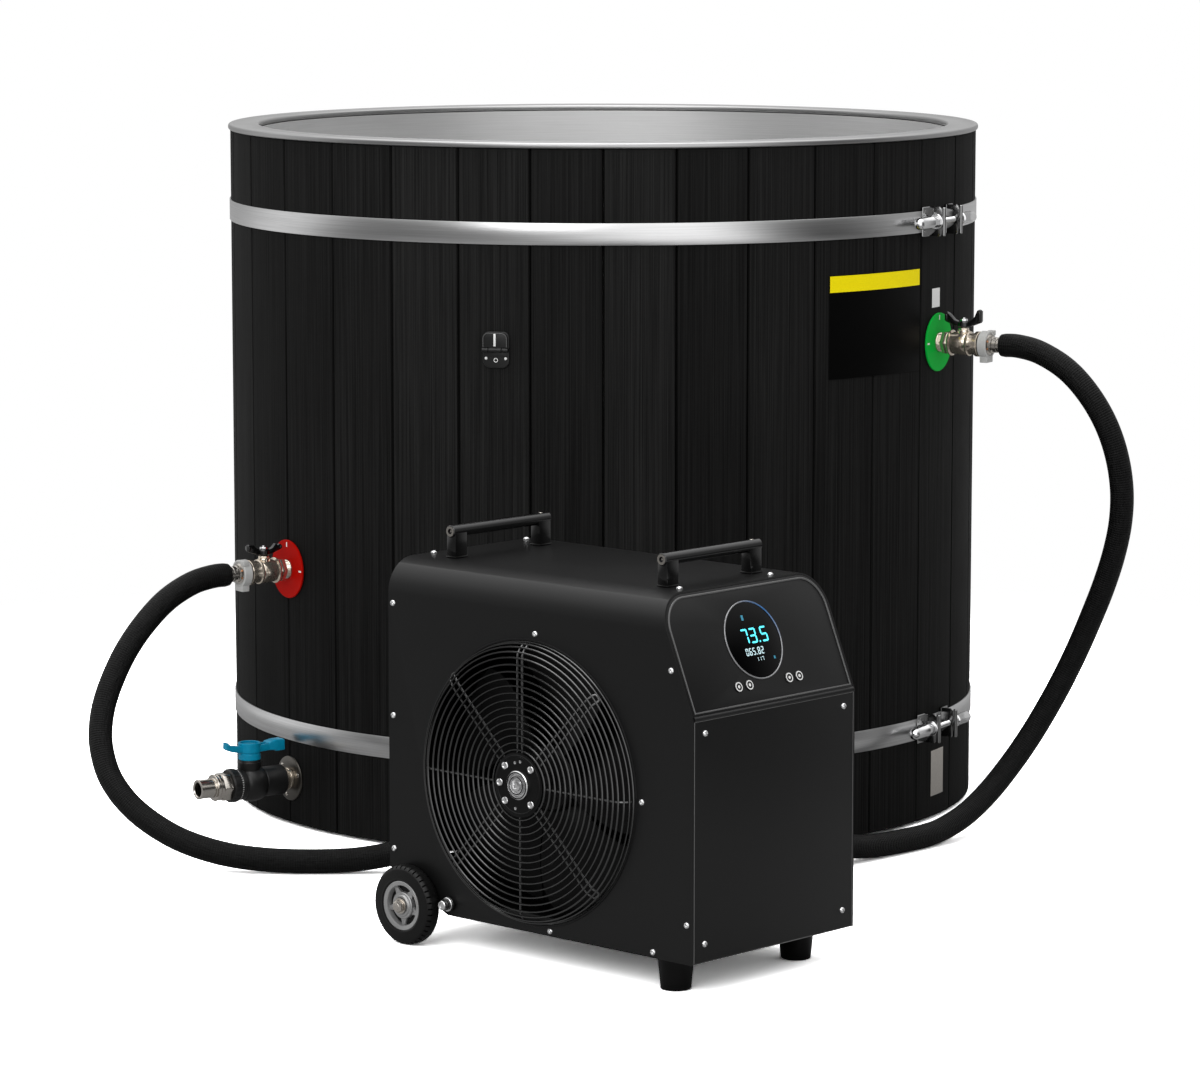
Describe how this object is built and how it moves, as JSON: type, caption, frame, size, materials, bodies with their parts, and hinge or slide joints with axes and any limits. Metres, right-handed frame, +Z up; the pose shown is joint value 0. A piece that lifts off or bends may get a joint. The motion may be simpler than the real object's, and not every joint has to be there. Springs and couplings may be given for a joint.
{
  "type": "barrel cold plunge tub",
  "caption": "Barrel cold plunge tub of dark staves with a steel liner, band clamps, water valves and a drain tap, joined by sleeved hoses to a wheeled water chiller with fan and display.",
  "frame": {"origin": "centre of the tub's footprint, on the floor plane that its bearers stand on", "axes": "+Z up along the tub's axis, -Y to the side where the chiller stands, +X to the right seen from that side"},
  "size_m": [1.3973, 1.8585, 0.9503],
  "materials": {
    "stave_wood": "black-stained vertical staves with fine grain, satin",
    "raw_wood": "plain sawn timber",
    "liner_steel": "satin stainless sheet",
    "band_steel": "brushed stainless strip",
    "polished_steel": "polished stainless",
    "nickel": "nickel-plated brass, glossy",
    "black_plastic": "moulded black plastic, semi-gloss",
    "grey_plastic": "moulded light grey plastic, matte",
    "blue_plastic": "moulded blue plastic, semi-gloss",
    "green_disc": "printed green disc with white ticks",
    "red_disc": "printed red disc with white ticks",
    "sign_face": "blank black plate with a yellow head band",
    "button_cap": "round black key, semi-gloss",
    "hose_sleeve": "black foam sleeve, matte",
    "black_coat": "black satin powder coat",
    "black_wire": "black coated wire, semi-gloss",
    "display_glass": "black display glass, glossy",
    "coil_metal": "pressed fins",
    "machine_paint": "black enamel",
    "wheel_plastic": "black plastic wheel with grey spokes",
    "foot_rubber": "black moulded foot, semi-gloss"
  },
  "bodies": {
    "tub_and_chiller": {"stave_panel_1": "stave_wood", "stave_panel_2": "stave_wood", "stave_panel_3": "stave_wood", "stave_panel_4": "stave_wood", "stave_panel_5": "stave_wood", "stave_panel_6": "stave_wood", "stave_panel_7": "stave_wood", "stave_panel_8": "stave_wood", "liner": "liner_steel", "rim_ring": "liner_steel", "floor_board": "raw_wood", "base_frame": "raw_wood", "upper_band": "band_steel", "upper_clamp_bolt": "polished_steel", "lower_band": "band_steel", "lower_clamp_bolt": "polished_steel", "sign_plate": "sign_face", "catch_plate": "black_plastic", "supply_disc": "green_disc", "supply_valve_body": "nickel", "supply_hose_union": "grey_plastic", "return_disc": "red_disc", "return_valve_body": "nickel", "return_hose_union": "grey_plastic", "drain_flange": "polished_steel", "drain_valve_body": "black_plastic", "drain_union": "polished_steel", "cover_shell": "black_coat", "left_end_panel": "black_coat", "base_tray": "black_coat", "service_panel": "black_coat", "control_panel": "black_coat", "display_glass": "display_glass", "fan_grille": "black_wire", "fan_motor": "machine_paint", "condenser_coil": "coil_metal", "compressor": "machine_paint", "heat_exchanger": "black_plastic", "circulation_pump": "black_plastic", "handle_left": "black_coat", "handle_right": "black_coat", "wheel_axle": "polished_steel", "foot_front": "foot_rubber", "foot_rear": "foot_rubber", "drain_spigot": "polished_steel", "supply_port": "grey_plastic", "return_port": "grey_plastic", "supply_hose": "hose_sleeve", "return_hose": "hose_sleeve"},
    "supply_valve_handle": {"supply_valve_handle": "black_plastic"},
    "return_valve_handle": {"return_valve_handle": "black_plastic"},
    "drain_lever": {"drain_lever": "blue_plastic"},
    "catch_flap": {"catch_flap": "black_plastic"},
    "fan_rotor": {"fan_rotor": "black_plastic"},
    "wheel_front": {"wheel_front": "wheel_plastic"},
    "wheel_rear": {"wheel_rear": "wheel_plastic"},
    "button_1": {"button_1": "button_cap"},
    "button_2": {"button_2": "button_cap"},
    "button_3": {"button_3": "button_cap"},
    "button_4": {"button_4": "button_cap"}
  },
  "joints": [
    {"name": "supply_valve_turn", "type": "hinge", "parent": "tub_and_chiller", "child": "supply_valve_handle", "pos_m": [0.49091, -0.27888, 0.686], "axis": [0, 0, 1], "range_deg": [0, 90]},
    {"name": "return_valve_turn", "type": "hinge", "parent": "tub_and_chiller", "child": "return_valve_handle", "pos_m": [-0.46193, -0.32465, 0.379], "axis": [0, 0, 1], "range_deg": [0, 90]},
    {"name": "drain_lever_turn", "type": "hinge", "parent": "tub_and_chiller", "child": "drain_lever", "pos_m": [-0.4832, -0.3396, 0.0993], "axis": [0, 0, 1], "range_deg": [0, 90]},
    {"name": "catch_flap_fold", "type": "hinge", "parent": "tub_and_chiller", "child": "catch_flap", "pos_m": [-0.14206, -0.51227, 0.678], "axis": [0.9636, -0.2672, 0], "range_deg": [0, 120]},
    {"name": "fan_spin", "type": "hinge", "parent": "tub_and_chiller", "child": "fan_rotor", "pos_m": [-0.0682, -1.1299, 0.224], "axis": [0.682, 0.7314, 0], "continuous": true},
    {"name": "wheel_front_spin", "type": "hinge", "parent": "tub_and_chiller", "child": "wheel_front", "pos_m": [-0.24056, -1.02882, 0.049], "axis": [0.682, 0.7314, 0], "continuous": true},
    {"name": "wheel_rear_spin", "type": "hinge", "parent": "tub_and_chiller", "child": "wheel_rear", "pos_m": [-0.02422, -0.79684, 0.049], "axis": [0.682, 0.7314, 0], "continuous": true},
    {"name": "button_1_press", "type": "slide", "parent": "tub_and_chiller", "child": "button_1", "axis": [-0.6749, 0.6294, -0.3851], "range_m": [0, 0.0008], "stiffness_N_per_m": 800, "springref_m": -0.001},
    {"name": "button_2_press", "type": "slide", "parent": "tub_and_chiller", "child": "button_2", "axis": [-0.6749, 0.6294, -0.3851], "range_m": [0, 0.0008], "stiffness_N_per_m": 800, "springref_m": -0.001},
    {"name": "button_3_press", "type": "slide", "parent": "tub_and_chiller", "child": "button_3", "axis": [-0.6749, 0.6294, -0.3851], "range_m": [0, 0.0008], "stiffness_N_per_m": 800, "springref_m": -0.001},
    {"name": "button_4_press", "type": "slide", "parent": "tub_and_chiller", "child": "button_4", "axis": [-0.6749, 0.6294, -0.3851], "range_m": [0, 0.0008], "stiffness_N_per_m": 800, "springref_m": -0.001}
  ]
}
